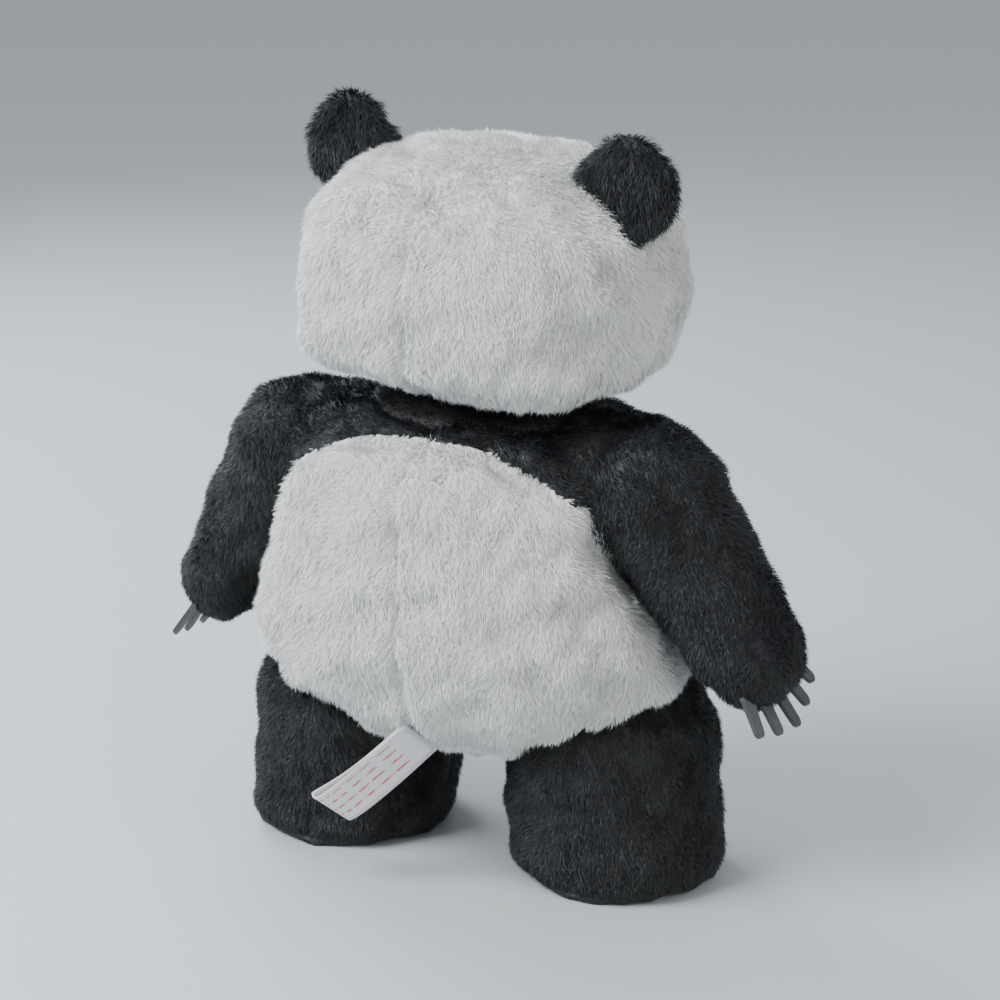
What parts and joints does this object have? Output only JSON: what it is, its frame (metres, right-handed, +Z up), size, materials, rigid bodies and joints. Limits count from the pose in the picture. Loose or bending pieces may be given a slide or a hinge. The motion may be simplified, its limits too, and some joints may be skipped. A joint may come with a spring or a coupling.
{
  "type": "plush panda",
  "caption": "Standing plush panda with a big round head, black ears, arms and legs, a pale oval back, flat felt claws and a ribbon label loop.",
  "frame": {"origin": "on the floor, midway between the two flat soles", "axes": "+Z up; the panda faces -Y, so its own right side is at -X"},
  "size_m": [0.2602, 0.1447, 0.285],
  "materials": {
    "white_pile": "soft knitted-back pile, about 5 mm long, brushed",
    "black_pile": "soft knitted-back pile, about 4 mm long, brushed",
    "polyester_stuffing": "fluffy polyester fibre",
    "pellet_bag_cloth": "plain woven bag filled with plastic pellets",
    "claw_felt": "pressed felt, cut edges",
    "eye_gloss": "polished",
    "washer_plastic": "moulded",
    "nose_thread": "satin-stitched thread",
    "label_ribbon": null,
    "insole_board": "stiff board"
  },
  "bodies": {
    "torso": {"yoke_back": "black_pile", "yoke_front": "black_pile", "back_left": "white_pile", "back_right": "white_pile", "belly_panel": "white_pile", "body_stuffing": "polyester_stuffing", "pellet_bag": "pellet_bag_cloth"},
    "neck": {"neck_wad": "polyester_stuffing"},
    "head": {"head_back_left": "white_pile", "head_back_right": "white_pile", "face_left": "white_pile", "face_right": "white_pile", "forehead_gusset": "white_pile", "chin_panel": "white_pile", "muzzle": "white_pile", "nose": "nose_thread", "mouth_stitching": "nose_thread", "head_stuffing": "polyester_stuffing", "eye_patch_left": "black_pile", "eye_patch_right": "black_pile", "eye_left": "eye_gloss", "eye_right": "eye_gloss", "eye_washer_left": "washer_plastic", "eye_washer_right": "washer_plastic"},
    "label": {"label_loop": "label_ribbon"},
    "shoulder_left": {"shoulder_wad_left": "polyester_stuffing"},
    "arm_left": {"arm_outer_left": "black_pile", "arm_inner_left": "black_pile", "arm_stuffing_left": "polyester_stuffing", "claw_left_1": "claw_felt", "claw_left_2": "claw_felt", "claw_left_3": "claw_felt", "claw_left_4": "claw_felt", "claw_left_5": "claw_felt"},
    "leg_left": {"leg_outer_left": "black_pile", "leg_inner_left": "black_pile", "leg_stuffing_left": "polyester_stuffing", "insole_left": "insole_board", "sole_left": "black_pile"},
    "ear_left": {"ear_back_left": "black_pile", "ear_front_left": "black_pile"},
    "shoulder_right": {"shoulder_wad_right": "polyester_stuffing"},
    "arm_right": {"arm_outer_right": "black_pile", "arm_inner_right": "black_pile", "arm_stuffing_right": "polyester_stuffing", "claw_right_1": "claw_felt", "claw_right_2": "claw_felt", "claw_right_3": "claw_felt", "claw_right_4": "claw_felt", "claw_right_5": "claw_felt"},
    "leg_right": {"leg_outer_right": "black_pile", "leg_inner_right": "black_pile", "leg_stuffing_right": "polyester_stuffing", "insole_right": "insole_board", "sole_right": "black_pile"},
    "ear_right": {"ear_back_right": "black_pile", "ear_front_right": "black_pile"}
  },
  "joints": [
    {"name": "neck_turn", "type": "hinge", "parent": "torso", "child": "neck", "pos_m": [0, 0, 0.182], "axis": [0, 0, 1], "range_deg": [-18, 18], "stiffness_Nm_per_rad": 0.35},
    {"name": "neck_nod", "type": "hinge", "parent": "neck", "child": "head", "pos_m": [0, 0, 0.182], "axis": [1, 0, 0], "range_deg": [-6, 6], "stiffness_Nm_per_rad": 1.6},
    {"name": "arm_lift_left", "type": "hinge", "parent": "torso", "child": "shoulder_left", "pos_m": [0.073, 0.013, 0.15], "axis": [0, -1, 0], "range_deg": [0, 36], "stiffness_Nm_per_rad": 0.12},
    {"name": "arm_swing_left", "type": "hinge", "parent": "shoulder_left", "child": "arm_left", "pos_m": [0.073, 0.013, 0.15], "axis": [-1, 0, 0], "range_deg": [-27, 23], "stiffness_Nm_per_rad": 0.12},
    {"name": "leg_swing_left", "type": "hinge", "parent": "torso", "child": "leg_left", "pos_m": [0.054, 0.003, 0.05], "axis": [-1, 0, 0], "range_deg": [-8, 8], "stiffness_Nm_per_rad": 2.5},
    {"name": "ear_fold_left", "type": "hinge", "parent": "head", "child": "ear_left", "pos_m": [0.05166, 0.00446, 0.26297], "axis": [0.735, -0.0578, -0.6756], "range_deg": [-20, 10], "stiffness_Nm_per_rad": 0.02},
    {"name": "arm_lift_right", "type": "hinge", "parent": "torso", "child": "shoulder_right", "pos_m": [-0.073, 0.013, 0.15], "axis": [0, 1, 0], "range_deg": [0, 36], "stiffness_Nm_per_rad": 0.12},
    {"name": "arm_swing_right", "type": "hinge", "parent": "shoulder_right", "child": "arm_right", "pos_m": [-0.073, 0.013, 0.15], "axis": [-1, 0, 0], "range_deg": [-27, 23], "stiffness_Nm_per_rad": 0.12},
    {"name": "leg_swing_right", "type": "hinge", "parent": "torso", "child": "leg_right", "pos_m": [-0.054, 0.003, 0.05], "axis": [-1, 0, 0], "range_deg": [-8, 8], "stiffness_Nm_per_rad": 2.5},
    {"name": "ear_fold_right", "type": "hinge", "parent": "head", "child": "ear_right", "pos_m": [-0.05978, 0.01323, 0.25614], "axis": [0.6474, -0.051, 0.7604], "range_deg": [-20, 10], "stiffness_Nm_per_rad": 0.02},
    {"name": "label_flap", "type": "hinge", "parent": "torso", "child": "label", "pos_m": [0, 0.05096, 0.058], "axis": [0.3376, 0.6932, 0.6368], "range_deg": [-12, 20], "stiffness_Nm_per_rad": 0.002}
  ]
}
